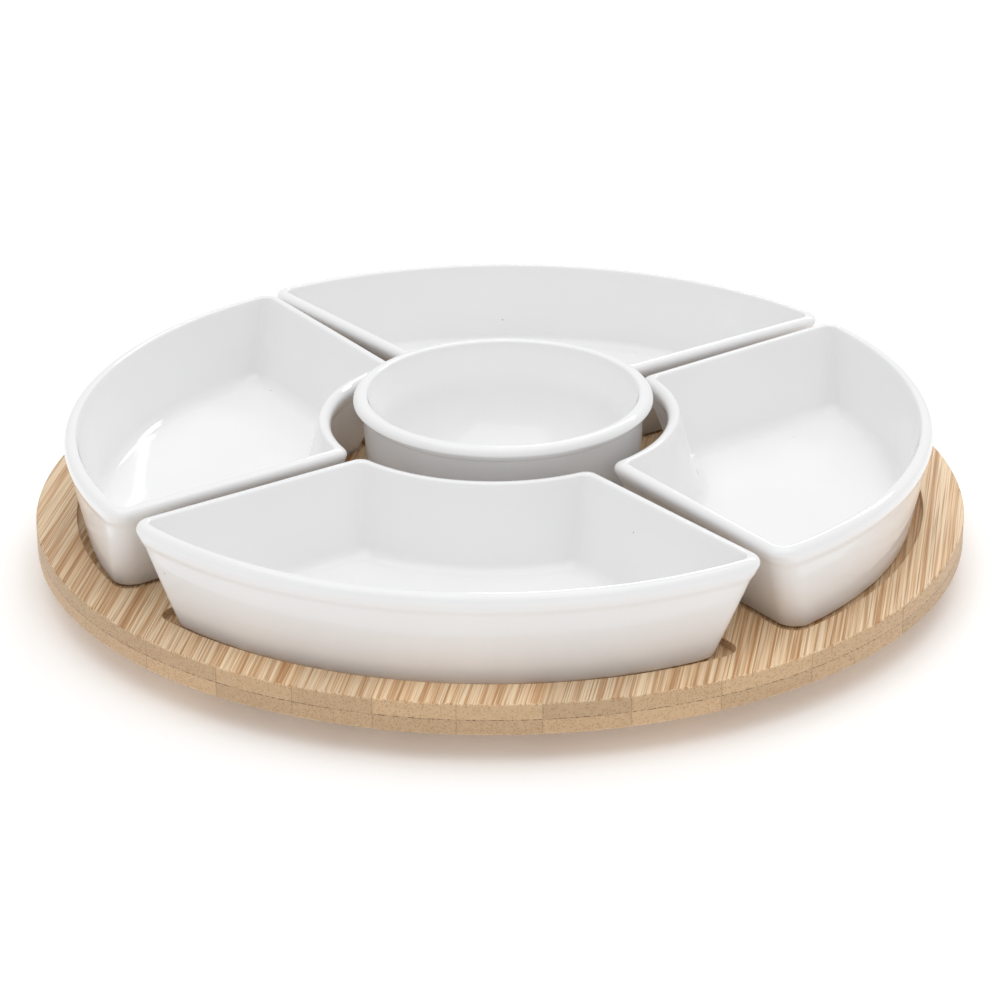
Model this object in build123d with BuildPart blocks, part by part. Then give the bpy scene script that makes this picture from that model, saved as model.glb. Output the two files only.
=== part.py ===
"""Round bamboo serving tray with four wedge dishes, a centre dip bowl and a ball-bearing turntable.

Units are millimetres, +Z is up and the origin is the centre of the footprint, on the table.
The front dish lies towards -Y. Angles are in degrees.
"""
from build123d import *
from math import cos, radians, sin, sqrt, tan
import os

# --- tray: two glued bamboo plies ---------------------------------------------------------------
tray_diameter = 300.0
ply_thickness = 5.2
top_edge_round = 0.8
bottom_edge_round = 1.2
pocket_depth = 2.8
pocket_corner = 6.0

# --- wedge dishes ---------------------------------------------------------------------------------
dish_height = 31.7
edge_margin = 10.35         # tray edge to the dish rims
rim_gap = 2.8               # between neighbouring rims, halfway along them
bowl_gap = 4.75             # bowl rim to the concave dish rims
outer_flare = 6.35          # how far the rim overhangs the foot on the outer arc
side_flare = 11.9           # the same on the straight sides
inner_flare = 9.05          # the same on the concave arc
side_splay = 0.8            # how far each end of a straight side leaves the line parallel to its neighbour
dish_rim_thickness = 4.6
dish_wall = 4.4
dish_floor = 4.6
dish_corner = 6.8           # outside corner radii at the rim
dish_tip_corner = 4.6
dish_foot_corner = 6.2
dish_inside_corner = 2.8
dish_floor_corner = 4.5
dish_floor_fillet = 3.5
band_height = 5.2           # the thicker band under every rim
dish_band_step = 0.4        # how far the band stands proud of the wall
rim_outer_round = 0.56      # edge rounding as a share of the rim's thickness, soft outside
rim_inner_round = 0.22      # and tight inside, with a narrow land between them
foot_edge_round = 1.2
foot_ring_width = 4.0       # unglazed ring that a vessel stands on
foot_ring_depth = 0.8
# how each loose dish stands in its pocket: degrees about itself, then X and Y
dish_turns = {"front_dish": 0.3, "right_dish": -0.1, "back_dish": 0.5, "left_dish": -1.8}
dish_shifts = {
    "front_dish": (-0.7, 0.0),
    "right_dish": (0.2, 0.7),
    "back_dish": (-0.2, 0.3),
    "left_dish": (0.0, 0.4),
}

# --- centre bowl ----------------------------------------------------------------------------------
bowl_diameter = 96.5
bowl_height = 39.0
bowl_band_height = 4.7
bowl_rim_thickness = 4.6
bowl_wall = 4.2
bowl_floor = 5.0
bowl_band_step = 2.8
bowl_wall_taper = 3.5
bowl_foot_round = 6.0
bowl_inside_round = 22.0
bowl_shift = (1.3, 0.0)     # how the loose bowl stands in its pocket

# --- room that the vessels have in their pockets --------------------------------------------------
outer_clearance = 3.6
side_clearance = 4.25
inner_clearance = 2.0
bowl_clearance = 2.5

# --- turntable ------------------------------------------------------------------------------------
ball_diameter = 4.0
ball_count = 30
ball_circle_radius = 64.5
groove_clearance = 0.05
race_gap = 2.2              # between the two rings, where the cage runs
ring_height = 6.6
inner_ring_bore = 48.0
outer_ring_wall = 4.4
flange_width = 10.0
flange_thickness = 3.4
tray_clearance = 1.0        # inner ring to the tray's underside
cage_clearance = 0.3
cage_height = 5.2
cage_ball_clearance = 0.1
pad_diameter = 10.0
pad_thickness = 2.0
pad_recess = 0.8
pad_edge_round = 0.5
pad_count = 6
ring_edge_chamfer = 0.5

# --- tray screws: 3 x 8 countersunk, cross recess ---------------------------------------------------
screw_diameter = 3.0
screw_tip_cover = 0.6       # wood left over the screw tips under the glue joint
screw_head_diameter = 5.8
screw_tip_length = 1.6
screw_count = 4
screw_hole_clearance = 0.15
recess_width = 0.7
recess_length = 3.2
recess_depth = 1.0

# --- worked out from the sizes above ----------------------------------------------------------------
tray_radius = tray_diameter / 2
ring_z = pad_thickness - pad_recess
tray_z = ring_z + ring_height + tray_clearance
ply_joint_z = tray_z + ply_thickness
tray_top_z = tray_z + 2 * ply_thickness
pocket_z = tray_top_z - pocket_depth

rim_outer_radius = tray_radius - edge_margin
rim_inner_radius = bowl_diameter / 2 + bowl_gap
rim_inset = rim_gap / 2
foot_outer_radius = rim_outer_radius - outer_flare
foot_inner_radius = rim_inner_radius + inner_flare
foot_inset = rim_inset + side_flare

ball_z = ring_z + ring_height / 2 + tray_clearance / 2
race_inner_radius = ball_circle_radius - race_gap / 2
race_outer_radius = ball_circle_radius + race_gap / 2
flange_inner_radius = race_outer_radius + outer_ring_wall
flange_outer_radius = flange_inner_radius + flange_width
pad_circle_radius = (inner_ring_bore + race_inner_radius) / 2
screw_circle_radius = flange_inner_radius + flange_width / 2
flange_z = tray_z - flange_thickness
screw_length = flange_thickness + ply_thickness - screw_tip_cover

half_sector = 45.0          # a quarter of the tray for each dish


def wedge(outer_radius, inner_radius, inset, outer_corner, inner_corner, splay=0):
    """Draw a quarter-ring wedge that points to -Y, its straight sides near parallel to the dividing lines."""

    def corner(radius, side):
        offset = inset - splay if radius == outer_radius else inset + splay
        along = sqrt(radius**2 - offset**2)
        angle = radians(-90 + side * half_sector)
        across = radians(-90 - side * half_sector)
        return (along * cos(angle) + offset * cos(across), along * sin(angle) + offset * sin(across))

    with BuildSketch(mode=Mode.PRIVATE) as outline:
        with BuildLine():
            ThreePointArc(corner(outer_radius, -1), (0, -outer_radius), corner(outer_radius, 1))
            Line(corner(outer_radius, 1), corner(inner_radius, 1))
            ThreePointArc(corner(inner_radius, 1), (0, -inner_radius), corner(inner_radius, -1))
            Line(corner(inner_radius, -1), corner(outer_radius, -1))
        make_face()
        by_radius = outline.vertices().sort_by(lambda vertex: Vector(vertex).length)
        fillet(by_radius[2:], outer_corner)
        by_radius = outline.vertices().sort_by(lambda vertex: Vector(vertex).length)
        fillet(by_radius[:2], inner_corner)
    return outline.sketch


def wedge_at(rise, wall, outer_corner, inner_corner):
    """The dish outline at a share of its height, moved inwards by a wall."""
    outer_radius = foot_outer_radius + rise * outer_flare - wall
    inner_radius = foot_inner_radius - rise * inner_flare + wall
    inset = foot_inset - rise * side_flare + wall
    return wedge(outer_radius, inner_radius, inset, outer_corner, inner_corner, side_splay)


# --- one dish, drawn for the front place, with its foot on the pocket's floor -----------------------
dish_top_z = pocket_z + dish_height
band_z = dish_top_z - band_height
floor_z = pocket_z + dish_floor
band_rise = (dish_height - band_height) / dish_height
floor_rise = dish_floor / dish_height

with BuildPart() as cavity:
    with BuildSketch(Plane.XY.offset(floor_z)):
        add(wedge_at(floor_rise, dish_wall, dish_floor_corner, dish_floor_corner))
    with BuildSketch(Plane.XY.offset(dish_top_z)):
        add(wedge_at(1, dish_rim_thickness, dish_inside_corner, dish_inside_corner))
    loft(ruled=True)
    fillet(cavity.faces().sort_by(Axis.Z)[0].edges(), dish_floor_fillet)

with BuildPart() as dish:
    with BuildSketch(Plane.XY.offset(pocket_z)):
        add(wedge_at(0, 0, dish_foot_corner, dish_foot_corner))
    with BuildSketch(Plane.XY.offset(band_z)):
        add(wedge_at(band_rise, dish_band_step, dish_corner, dish_tip_corner))
    loft(ruled=True)
    fillet(dish.faces().sort_by(Axis.Z)[0].edges(), foot_edge_round)
    with BuildSketch(Plane.XY.offset(band_z)):
        add(wedge_at(band_rise, 0, dish_corner, dish_tip_corner))
    with BuildSketch(Plane.XY.offset(dish_top_z)):
        add(wedge_at(1, 0, dish_corner, dish_tip_corner))
    loft(ruled=True)
    add(cavity.part, mode=Mode.SUBTRACT)
    fillet(dish.faces().sort_by(Axis.Z)[-1].outer_wire().edges(), rim_outer_round * dish_rim_thickness)
    fillet(dish.faces().sort_by(Axis.Z)[-1].inner_wires()[0].edges(), rim_inner_round * dish_rim_thickness)
    with BuildSketch(Plane.XY.offset(pocket_z)):
        add(wedge_at(0, foot_edge_round + foot_ring_width, dish_floor_corner, dish_floor_corner))
    extrude(amount=foot_ring_depth, mode=Mode.SUBTRACT)

# each place is the front dish turned a little about itself, then about the middle of the tray, and shifted
dish_middle = (0, -(rim_outer_radius + rim_inner_radius) / 2, 0)
places = {"front_dish": 0, "right_dish": 90, "back_dish": 180, "left_dish": 270}
dishes = []
for name, angle in places.items():
    turned = dish.part.rotate(Axis(dish_middle, (0, 0, 1)), dish_turns[name])
    with BuildPart() as placed:
        with Locations(dish_shifts[name]):
            add(turned.rotate(Axis.Z, angle))
    placed.part.label = name
    dishes.append(placed.part)

# --- centre bowl: one turned profile ----------------------------------------------------------------
bowl_rim_radius = bowl_diameter / 2
bowl_top_z = pocket_z + bowl_height
bowl_band_z = bowl_top_z - bowl_band_height
bowl_wall_radius = bowl_rim_radius - bowl_band_step
bowl_foot_radius = bowl_wall_radius - (bowl_height - bowl_band_height) * tan(radians(bowl_wall_taper))
bowl_inside_top = bowl_rim_radius - bowl_rim_thickness
bowl_inside_floor = bowl_foot_radius - bowl_wall

with BuildPart() as turned_bowl:
    with BuildSketch(Plane.XZ):
        with BuildLine():
            Polyline(
                (0, pocket_z),
                (bowl_foot_radius, pocket_z),
                (bowl_wall_radius, bowl_band_z),
                (bowl_rim_radius, bowl_band_z),
                (bowl_rim_radius, bowl_top_z),
                (bowl_inside_top, bowl_top_z),
                (bowl_inside_floor, pocket_z + bowl_floor),
                (0, pocket_z + bowl_floor),
                close=True,
            )
        make_face()
    revolve(axis=Axis.Z)
    rings = turned_bowl.edges().filter_by(GeomType.CIRCLE)
    fillet(rings.sort_by(SortBy.RADIUS)[0], bowl_inside_round)
    rings = turned_bowl.edges().filter_by(GeomType.CIRCLE)
    fillet(rings.group_by(Axis.Z)[-1].sort_by(SortBy.RADIUS)[-1], rim_outer_round * bowl_rim_thickness)
    rings = turned_bowl.edges().filter_by(GeomType.CIRCLE)
    fillet(rings.group_by(Axis.Z)[-1].sort_by(SortBy.RADIUS)[0], rim_inner_round * bowl_rim_thickness)
    rings = turned_bowl.edges().filter_by(GeomType.CIRCLE)
    fillet(rings.sort_by(Axis.Z)[0], bowl_foot_round)
    with BuildSketch(Plane.XY.offset(pocket_z)):
        Circle(bowl_foot_radius - bowl_foot_round - foot_ring_width)
    extrude(amount=foot_ring_depth, mode=Mode.SUBTRACT)

with BuildPart() as dip_bowl:
    with Locations(bowl_shift):
        add(turned_bowl.part)
dip_bowl.part.label = "dip_bowl"

# --- tray: the upper ply has a pocket for each vessel, the lower ply takes the screws -----------------
with BuildPart() as upper_ply:
    with BuildSketch(Plane.XY.offset(ply_joint_z)):
        Circle(tray_radius)
    extrude(amount=ply_thickness)
    fillet(upper_ply.edges().sort_by(Axis.Z)[-1], top_edge_round)
    with BuildSketch(Plane.XY.offset(pocket_z)):
        with PolarLocations(0, len(places)):
            add(
                wedge(
                    foot_outer_radius + outer_clearance,
                    foot_inner_radius - inner_clearance,
                    foot_inset - side_clearance,
                    pocket_corner,
                    pocket_corner,
                )
            )
        Circle(bowl_foot_radius + bowl_clearance)
    extrude(amount=pocket_depth, mode=Mode.SUBTRACT)
upper_ply.part.label = "tray_upper_ply"

with BuildPart() as lower_ply:
    with BuildSketch(Plane.XY.offset(tray_z)):
        Circle(tray_radius)
    extrude(amount=ply_thickness)
    fillet(lower_ply.edges().sort_by(Axis.Z)[0], bottom_edge_round)
    with BuildSketch(Plane.XY.offset(tray_z)):
        with PolarLocations(screw_circle_radius, screw_count):
            Circle(screw_diameter / 2)
    extrude(amount=screw_length - flange_thickness, mode=Mode.SUBTRACT)
lower_ply.part.label = "tray_lower_ply"

# --- turntable: the outer ring carries the tray and the inner ring stands still -------------------------
groove_radius = ball_diameter / 2 + groove_clearance
outer_ring_z = tray_z - ring_height

with BuildPart() as outer_ring:
    with BuildSketch(Plane.XZ):
        with BuildLine():
            Polyline(
                (race_outer_radius, outer_ring_z),
                (flange_inner_radius, outer_ring_z),
                (flange_inner_radius, flange_z),
                (flange_outer_radius, flange_z),
                (flange_outer_radius, tray_z),
                (race_outer_radius, tray_z),
                close=True,
            )
        make_face()
        with Locations((ball_circle_radius, ball_z)):
            Circle(groove_radius, mode=Mode.SUBTRACT)
    revolve(axis=Axis.Z)
    rims = outer_ring.edges().filter_by(GeomType.CIRCLE).group_by(Axis.Z)
    chamfer(rims[0], ring_edge_chamfer)
    with BuildSketch(Plane.XY.offset(flange_z)):
        with PolarLocations(screw_circle_radius, screw_count):
            Circle(screw_diameter / 2 + screw_hole_clearance)
    extrude(amount=flange_thickness, mode=Mode.SUBTRACT)
    holes = outer_ring.edges().filter_by(GeomType.CIRCLE).group_by(SortBy.RADIUS)[0].group_by(Axis.Z)[0]
    chamfer(holes, screw_head_diameter / 2 - screw_diameter / 2 - screw_hole_clearance)
outer_ring.part.label = "turntable_outer_ring"

with BuildPart() as inner_ring:
    with BuildSketch(Plane.XZ):
        with Locations(((inner_ring_bore + race_inner_radius) / 2, ring_z + ring_height / 2)):
            Rectangle(race_inner_radius - inner_ring_bore, ring_height)
        with Locations((ball_circle_radius, ball_z)):
            Circle(groove_radius, mode=Mode.SUBTRACT)
    revolve(axis=Axis.Z)
    rims = inner_ring.edges().filter_by(GeomType.CIRCLE).group_by(Axis.Z)
    chamfer(rims[0] + rims[-1], ring_edge_chamfer)
    with BuildSketch(Plane.XY.offset(ring_z)):
        with PolarLocations(pad_circle_radius, pad_count):
            Circle(pad_diameter / 2)
    extrude(amount=pad_recess, mode=Mode.SUBTRACT)
inner_ring.part.label = "turntable_inner_ring"

with BuildPart() as balls:
    with Locations((0, 0, ball_z)):
        with PolarLocations(ball_circle_radius, ball_count):
            Sphere(ball_diameter / 2)
balls.part.label = "bearing_balls"

cage_width = race_gap - 2 * cage_clearance
with BuildPart() as cage:
    with BuildSketch(Plane.XY.offset(ball_z - cage_height / 2)):
        Circle(ball_circle_radius + cage_width / 2)
        Circle(ball_circle_radius - cage_width / 2, mode=Mode.SUBTRACT)
    extrude(amount=cage_height)
    with Locations((0, 0, ball_z)):
        with PolarLocations(ball_circle_radius, ball_count):
            Cylinder(
                ball_diameter / 2 + cage_ball_clearance,
                2 * cage_width,
                rotation=(0, 90, 0),
                mode=Mode.SUBTRACT,
            )
cage.part.label = "ball_cage"

# --- screws up through the flange into the lower ply ------------------------------------------------------
with BuildPart() as screw:
    with BuildSketch(Plane.XZ):
        with BuildLine():
            Polyline(
                (0, flange_z),
                (screw_head_diameter / 2, flange_z),
                (screw_diameter / 2, flange_z + (screw_head_diameter - screw_diameter) / 2),
                (screw_diameter / 2, flange_z + screw_length - screw_tip_length),
                (0, flange_z + screw_length),
                close=True,
            )
        make_face()
    revolve(axis=Axis.Z)
    with BuildSketch(Plane.XY.offset(flange_z)):
        Rectangle(recess_length, recess_width)
        Rectangle(recess_width, recess_length)
    extrude(amount=recess_depth, mode=Mode.SUBTRACT)

with BuildPart() as ring_screws:
    with PolarLocations(screw_circle_radius, screw_count):
        add(screw.part)
ring_screws.part.label = "ring_screws"

# --- rubber pads under the inner ring ------------------------------------------------------------------------
with BuildPart() as pads:
    with BuildSketch():
        with PolarLocations(pad_circle_radius, pad_count):
            Circle(pad_diameter / 2)
    extrude(amount=pad_thickness)
    fillet(pads.edges().group_by(Axis.Z)[0], pad_edge_round)
pads.part.label = "foot_pads"

# --- one STEP file for each piece ---------------------------------------------------------------------------
pieces = dishes + [
    dip_bowl.part,
    upper_ply.part,
    lower_ply.part,
    outer_ring.part,
    inner_ring.part,
    balls.part,
    cage.part,
    ring_screws.part,
    pads.part,
]
os.makedirs("parts", exist_ok=True)
for piece in pieces:
    export_step(piece, f"parts/{piece.label}.step")
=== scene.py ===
"""Chip and dip server: white glazed dishes on a bamboo tray with a low turntable.

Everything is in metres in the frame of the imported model: +Z is up and the front dish lies towards -Y.
"""

import logging
import math
from dataclasses import dataclass, field
from enum import Enum

import bmesh
import bpy
import numpy as np
from mathutils import Matrix, Vector, noise


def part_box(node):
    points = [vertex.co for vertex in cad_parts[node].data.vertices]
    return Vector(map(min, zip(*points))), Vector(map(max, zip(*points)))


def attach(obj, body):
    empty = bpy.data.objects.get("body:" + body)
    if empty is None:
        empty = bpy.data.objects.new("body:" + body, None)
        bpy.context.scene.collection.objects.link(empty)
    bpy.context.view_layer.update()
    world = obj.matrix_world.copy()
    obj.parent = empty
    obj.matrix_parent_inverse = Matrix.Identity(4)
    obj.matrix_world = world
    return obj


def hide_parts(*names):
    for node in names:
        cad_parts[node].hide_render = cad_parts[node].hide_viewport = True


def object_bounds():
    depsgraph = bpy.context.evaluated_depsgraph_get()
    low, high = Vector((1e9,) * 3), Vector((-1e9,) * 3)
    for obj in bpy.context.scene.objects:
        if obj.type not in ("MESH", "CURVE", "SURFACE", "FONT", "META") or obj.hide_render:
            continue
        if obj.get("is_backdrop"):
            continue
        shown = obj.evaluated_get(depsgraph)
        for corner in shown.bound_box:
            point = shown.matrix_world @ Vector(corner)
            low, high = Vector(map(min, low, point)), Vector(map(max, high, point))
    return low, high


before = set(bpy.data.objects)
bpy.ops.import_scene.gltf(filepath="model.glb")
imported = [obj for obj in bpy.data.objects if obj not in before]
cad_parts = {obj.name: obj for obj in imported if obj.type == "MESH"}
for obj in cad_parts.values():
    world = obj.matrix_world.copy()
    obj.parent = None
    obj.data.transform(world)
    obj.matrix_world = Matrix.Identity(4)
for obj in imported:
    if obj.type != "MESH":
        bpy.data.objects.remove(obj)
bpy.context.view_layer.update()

MM = 0.001
LOG = logging.getLogger("server")

Ring = np.ndarray
Corners = tuple[float, float]    # radii at the outer corners and at the tips
Value = float | tuple[float, ...] | bpy.types.NodeSocket


class Slot(Enum):
    """Material slot names of the record; no piece in this script takes its finish from them."""

    DISH = "dish_glaze"
    BOWL = "bowl_glaze"
    UPPER_PLY = "upper_bamboo"
    LOWER_PLY = "lower_bamboo"
    RING = "ring_aluminium"
    BALL = "ball_steel"
    CAGE = "cage_nylon"
    SCREW = "screw_zinc"
    PAD = "pad_rubber"


class Place(Enum):
    """The four dish places, each with its quarter turn about the tray's middle in degrees."""

    FRONT = 0
    RIGHT = 90
    BACK = 180
    LEFT = 270

    @property
    def node(self) -> str:
        """Name of the CAD node that stands in this place."""
        return f"{self.name.lower()}_dish"


# --- colours and nodes ------------------------------------------------------------------------------


def linear(hex_colour: str) -> tuple[float, float, float, float]:
    """Turn an sRGB hex colour into linear RGBA.

    Args:
        hex_colour: six hex digits after a hash.

    Returns:
        Linear red, green, blue and an alpha of 1.
    """
    channels = [int(hex_colour[i : i + 2], 16) / 255 for i in (1, 3, 5)]
    low = [c / 12.92 if c <= 0.04045 else ((c + 0.055) / 1.055) ** 2.4 for c in channels]
    return (low[0], low[1], low[2], 1.0)


def add_node(
    tree: bpy.types.NodeTree,
    kind: str,
    settings: dict[str, object] | None = None,
    inputs: dict[str | int, Value] | None = None,
) -> bpy.types.Node:
    """Add one node with its settings, values and links.

    Args:
        tree: the material's or modifier's node tree.
        kind: the node's type name.
        settings: attributes to set on the node.
        inputs: socket name or number to a value, or to the output socket that feeds it.

    Returns:
        The new node.
    """
    node = tree.nodes.new(kind)
    for name, setting in (settings or {}).items():
        setattr(node, name, setting)
    for key, value in (inputs or {}).items():
        socket = node.inputs[key]
        if isinstance(value, bpy.types.NodeSocket):
            tree.links.new(value, socket)
        else:
            socket.default_value = value
    return node


def new_material(name: str) -> tuple[bpy.types.Material, bpy.types.Node]:
    """Make a node material.

    Args:
        name: the finish's plain name.

    Returns:
        The material and its Principled shader.
    """
    material = bpy.data.materials.new(name)
    material.use_nodes = True
    return material, material.node_tree.nodes["Principled BSDF"]


# --- finishes -----------------------------------------------------------------------------------------


@dataclass(frozen=True)
class WhiteGlaze:
    """Porcelain dipped in clear glaze and fired: white, wet-looking, with a faint sag and rare specks."""

    name: str
    body: str = "#F8F8F8"
    thin: str = "#F3F3F4"       # where the glaze has drawn thin and the body shows
    speck: str = "#6F6A64"
    roughness: float = 0.06
    ior: float = 1.52
    sag_mm: float = 28.0        # spacing of the slow waves that the glaze sags into
    peel_mm: float = 2.4        # spacing of the fine orange peel
    speck_mm: float = 6.5       # spacing of the cells that may hold an iron speck

    def build(self) -> bpy.types.Material:
        """Build the material."""
        material, shader = new_material(self.name)
        tree = material.node_tree
        place = add_node(tree, "ShaderNodeTexCoord").outputs["Object"]
        sag = add_node(
            tree, "ShaderNodeTexNoise", None,
            {"Vector": place, "Scale": 1 / (self.sag_mm * MM), "Detail": 1.0, "Roughness": 0.4},
        )
        peel = add_node(
            tree, "ShaderNodeTexNoise", None,
            {"Vector": place, "Scale": 1 / (self.peel_mm * MM), "Detail": 2.0, "Roughness": 0.5},
        )
        cells = add_node(
            tree, "ShaderNodeTexVoronoi", None,
            {"Vector": place, "Scale": 1 / (self.speck_mm * MM), "Randomness": 1.0},
        )
        dot = add_node(
            tree, "ShaderNodeMapRange", None,
            {"Value": cells.outputs["Distance"], "From Min": 0.018, "From Max": 0.04, "To Min": 1.0, "To Max": 0.0},
        )
        pick = add_node(
            tree, "ShaderNodeSeparateColor", None, {"Color": cells.outputs["Color"]}
        )
        rare = add_node(
            tree, "ShaderNodeMath", {"operation": "GREATER_THAN"}, {0: pick.outputs["Red"], 1: 0.93}
        )
        speck = add_node(
            tree, "ShaderNodeMath", {"operation": "MULTIPLY"}, {0: dot.outputs["Result"], 1: rare.outputs[0]}
        )
        tone = add_node(
            tree, "ShaderNodeMix", {"data_type": "RGBA"},
            {"Factor": sag.outputs["Fac"], 6: linear(self.thin), 7: linear(self.body)},
        )
        colour = add_node(
            tree, "ShaderNodeMix", {"data_type": "RGBA"},
            {"Factor": speck.outputs[0], 6: tone.outputs[2], 7: linear(self.speck)},
        )
        slow = add_node(
            tree, "ShaderNodeBump", None,
            {"Height": sag.outputs["Fac"], "Strength": 0.35, "Distance": 0.5 * MM},
        )
        fine = add_node(
            tree, "ShaderNodeBump", None,
            {"Height": peel.outputs["Fac"], "Strength": 0.12, "Distance": 0.03 * MM, "Normal": slow.outputs["Normal"]},
        )
        gloss = add_node(
            tree, "ShaderNodeMapRange", None,
            {"Value": peel.outputs["Fac"], "To Min": self.roughness - 0.02, "To Max": self.roughness + 0.03},
        )
        tree.links.new(colour.outputs[2], shader.inputs["Base Color"])
        tree.links.new(fine.outputs["Normal"], shader.inputs["Normal"])
        tree.links.new(gloss.outputs["Result"], shader.inputs["Roughness"])
        shader.inputs["IOR"].default_value = self.ior
        return material


@dataclass(frozen=True)
class LaminatedBamboo:
    """Pressed bamboo under thin lacquer: straight streaks along Y, dotted end grain, one tone per strip."""

    name: str
    glue_z: float               # height of the glue line between the plies
    top_z: float                # height of the ply's upper face
    seed: float
    light: str = "#F6DDB9"
    mid: str = "#E6C196"
    dark: str = "#B98653"
    vessel: str = "#8E6238"     # the dark fibre bundles
    glue: str = "#5B3E24"
    # painted shade that stands for the hollows of chips along the upper edge
    chip: str = "#38261A"
    upright_shade_tone: float = 0.80      # upright faces painted darker than the top: partly end grain that soaks up more lacquer, partly painted shade of the sides
    strip_mm: float = 24.75
    strip_start_mm: float = 11.0
    bundle_mm: float = 0.7      # fibre bundle spacing, a little coarse so that it shows
    streak_mm: float = 1.6
    roughness: float = 0.46
    ior: float = 1.5

    def build(self) -> bpy.types.Material:
        """Build the material."""
        material, shader = new_material(self.name)
        tree = material.node_tree
        place = add_node(tree, "ShaderNodeTexCoord").outputs["Object"]
        axes = add_node(tree, "ShaderNodeSeparateXYZ", None, {"Vector": place})
        x, z = axes.outputs["X"], axes.outputs["Z"]

        # one random number per strip, so each strip has its own tone and its own fibres
        along = add_node(
            tree, "ShaderNodeMapRange", {"clamp": False},
            {
                "Value": x,
                "From Min": self.strip_start_mm * MM,
                "From Max": (self.strip_start_mm + self.strip_mm) * MM,
            },
        )
        index = add_node(tree, "ShaderNodeMath", {"operation": "FLOOR"}, {0: along.outputs["Result"]})
        own = add_node(tree, "ShaderNodeMath", {"operation": "ADD"}, {0: index.outputs[0], 1: self.seed})
        dice = add_node(
            tree, "ShaderNodeTexWhiteNoise", {"noise_dimensions": "1D"}, {"W": own.outputs[0]}
        )
        shift = add_node(
            tree, "ShaderNodeVectorMath", {"operation": "SCALE"}, {0: dice.outputs["Color"], "Scale": 0.3}
        )
        moved = add_node(
            tree, "ShaderNodeVectorMath", {"operation": "ADD"}, {0: place, 1: shift.outputs["Vector"]}
        )

        def stretched(width_mm: float, length_mm: float) -> bpy.types.NodeSocket:
            """Scale the strip's coordinates to a pattern width across and a length along the fibres."""
            across, lengthwise = 1 / (width_mm * MM), 1 / (length_mm * MM)
            mapping = add_node(
                tree, "ShaderNodeMapping", None,
                {"Vector": moved.outputs["Vector"], "Scale": (across, lengthwise, across)},
            )
            return mapping.outputs["Vector"]

        streak = add_node(
            tree, "ShaderNodeTexNoise", None,
            {"Vector": stretched(self.streak_mm, 190.0), "Scale": 1.0, "Detail": 3.5, "Roughness": 0.68},
        )
        fine = add_node(
            tree, "ShaderNodeTexNoise", None,
            {"Vector": stretched(0.42, 75.0), "Scale": 1.0, "Detail": 2.0, "Roughness": 0.6},
        )
        bundles = add_node(
            tree, "ShaderNodeTexVoronoi", None,
            {"Vector": stretched(self.bundle_mm, 45.0), "Scale": 1.0, "Randomness": 0.85},
        )
        ramp = add_node(tree, "ShaderNodeValToRGB", None, {"Fac": streak.outputs["Fac"]})
        stops = ramp.color_ramp.elements
        stops[0].position, stops[0].color = 0.36, linear(self.dark)
        stops[1].position, stops[1].color = 0.58, linear(self.light)
        middle = stops.new(0.46)
        middle.color = linear(self.mid)

        # end grain is one even tone between its dots
        facing = add_node(
            tree, "ShaderNodeSeparateXYZ", None,
            {"Vector": add_node(tree, "ShaderNodeNewGeometry").outputs["True Normal"]},
        )
        level = add_node(tree, "ShaderNodeMath", {"operation": "ABSOLUTE"}, {0: facing.outputs["Z"]})
        flat = add_node(
            tree, "ShaderNodeMapRange", None,
            {"Value": level.outputs[0], "From Min": 0.3, "From Max": 0.8, "To Min": 0.12, "To Max": 1.0},
        )
        grain = add_node(
            tree, "ShaderNodeMix", {"data_type": "RGBA"},
            {"Factor": flat.outputs["Result"], 6: linear(self.mid), 7: ramp.outputs["Color"]},
        )

        # dark bundles: dots on the end grain, thin lines along the faces
        dot = add_node(
            tree, "ShaderNodeMapRange", None,
            {"Value": bundles.outputs["Distance"], "From Min": 0.14, "From Max": 0.42, "To Min": 0.5, "To Max": 0.0},
        )
        speckled = add_node(
            tree, "ShaderNodeMix", {"data_type": "RGBA"},
            {"Factor": dot.outputs["Result"], 6: grain.outputs[2], 7: linear(self.vessel)},
        )
        line = add_node(
            tree, "ShaderNodeMapRange", None,
            {"Value": fine.outputs["Fac"], "From Min": 0.52, "From Max": 0.64, "To Min": 0.0, "To Max": 0.75},
        )
        flat_line = add_node(
            tree, "ShaderNodeMath", {"operation": "MULTIPLY"}, {0: line.outputs["Result"], 1: flat.outputs["Result"]}
        )
        lined = add_node(
            tree, "ShaderNodeMix", {"data_type": "RGBA"},
            {"Factor": flat_line.outputs[0], 6: speckled.outputs[2], 7: linear(self.dark)},
        )

        # strip tone, and upright faces painted darker than the top: partly end grain, partly painted shade of the
        # sides
        tone = add_node(
            tree, "ShaderNodeMapRange", None, {"Value": dice.outputs["Value"], "To Min": 0.84, "To Max": 1.05}
        )
        upright_shade = add_node(
            tree, "ShaderNodeMapRange", None,
            {"Value": level.outputs[0], "From Min": 0.2, "From Max": 0.8, "To Min": self.upright_shade_tone, "To Max": 1.0},
        )
        shade = add_node(
            tree, "ShaderNodeMath", {"operation": "MULTIPLY"}, {0: tone.outputs["Result"], 1: upright_shade.outputs["Result"]}
        )
        toned = add_node(
            tree, "ShaderNodeVectorMath", {"operation": "SCALE"},
            {0: lined.outputs[2], "Scale": shade.outputs[0]},
        )

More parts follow.
